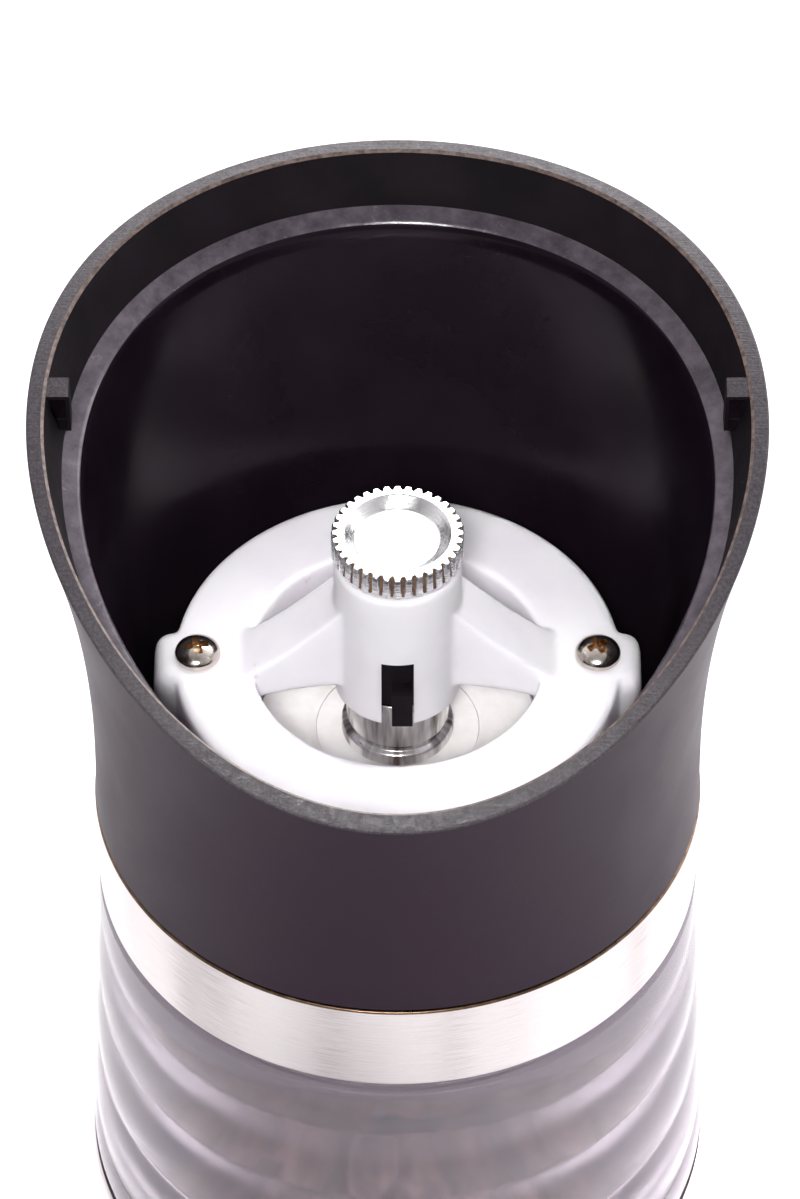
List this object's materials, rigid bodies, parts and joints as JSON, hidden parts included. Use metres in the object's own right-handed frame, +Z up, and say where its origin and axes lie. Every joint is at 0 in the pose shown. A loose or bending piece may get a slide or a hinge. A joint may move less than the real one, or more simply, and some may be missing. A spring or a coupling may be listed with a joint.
{
  "type": "pepper mill",
  "caption": "Manual pepper mill with a flared, obliquely cut black mouth, a white burr mechanism with a knurled knob, steel bands, a clear chamber and a black base.",
  "frame": {"origin": "centre of the rubber foot's lower face", "axes": "+Z up along the shaft towards the mouth, -Y towards the low side of the slanted rim, +X to the right of it"},
  "size_m": [0.068, 0.0694, 0.1399],
  "materials": {
    "soft_black": "soft-touch satin, fine grain",
    "gloss_black": "glossy moulding",
    "white_plastic": "smooth translucent white moulding",
    "ceramic": "fired, unglazed",
    "brushed_steel": "brushed round the band",
    "bright_steel": "plated, bright",
    "turned_aluminium": "bright, with turning marks",
    "clear_plastic": "clear moulding with shallow round ridges",
    "rubber": "matte"
  },
  "bodies": {
    "base": {"foot_pad": "rubber", "base_plate": "soft_black", "base_shell": "soft_black", "base_band": "brushed_steel", "shaft_socket": "white_plastic", "socket_screw": "bright_steel", "base_screw_1": "bright_steel", "base_screw_2": "bright_steel", "base_screw_3": "bright_steel"},
    "collar": {"turn_collar": "soft_black", "collar_clip": "bright_steel", "grip_ring": "rubber"},
    "body": {"chamber_tube": "clear_plastic", "band_gasket": "rubber", "steel_band": "brushed_steel", "skirt_liner": "gloss_black", "skirt_shell": "soft_black", "mechanism_frame": "white_plastic", "burr_cup": "white_plastic", "stator_burr": "ceramic", "frame_screw_left": "bright_steel", "frame_screw_right": "bright_steel", "spring_seat": "bright_steel", "rotor_spring": "bright_steel"},
    "knob": {"adjusting_knob": "turned_aluminium", "knob_clip": "bright_steel"},
    "sleeve": {"key_sleeve": "soft_black"},
    "rotor": {"rotor_burr": "ceramic", "spindle_collar": "turned_aluminium", "drive_shaft": "bright_steel", "thrust_washer": "bright_steel"}
  },
  "joints": [
    {"name": "body_turn", "type": "hinge", "parent": "base", "child": "collar", "pos_m": [0, 0, 0], "axis": [0, 0, 1], "continuous": true},
    {"name": "lift_off", "type": "slide", "parent": "collar", "child": "body", "axis": [0, 0, 1], "range_m": [0, 0.025]},
    {"name": "adjuster_turn", "type": "hinge", "parent": "body", "child": "knob", "pos_m": [0, 0, 0.12], "axis": [0, 0, 1], "range_deg": [-180, 360]},
    {"name": "sleeve_slide", "type": "slide", "parent": "body", "child": "sleeve", "axis": [0, 0, 1], "range_m": [-0.0004, 0.0008], "deforming": ["rotor_spring"]},
    {"name": "rotor_turn", "type": "hinge", "parent": "sleeve", "child": "rotor", "pos_m": [0, 0, 0.1], "axis": [0, 0, 1], "continuous": true}
  ],
  "couplings": [
    {"joint": "adjuster_turn", "follows": "sleeve_slide", "rad_per_m": 7854},
    {"joint": "rotor_turn", "follows": "body_turn", "ratio": -1}
  ]
}
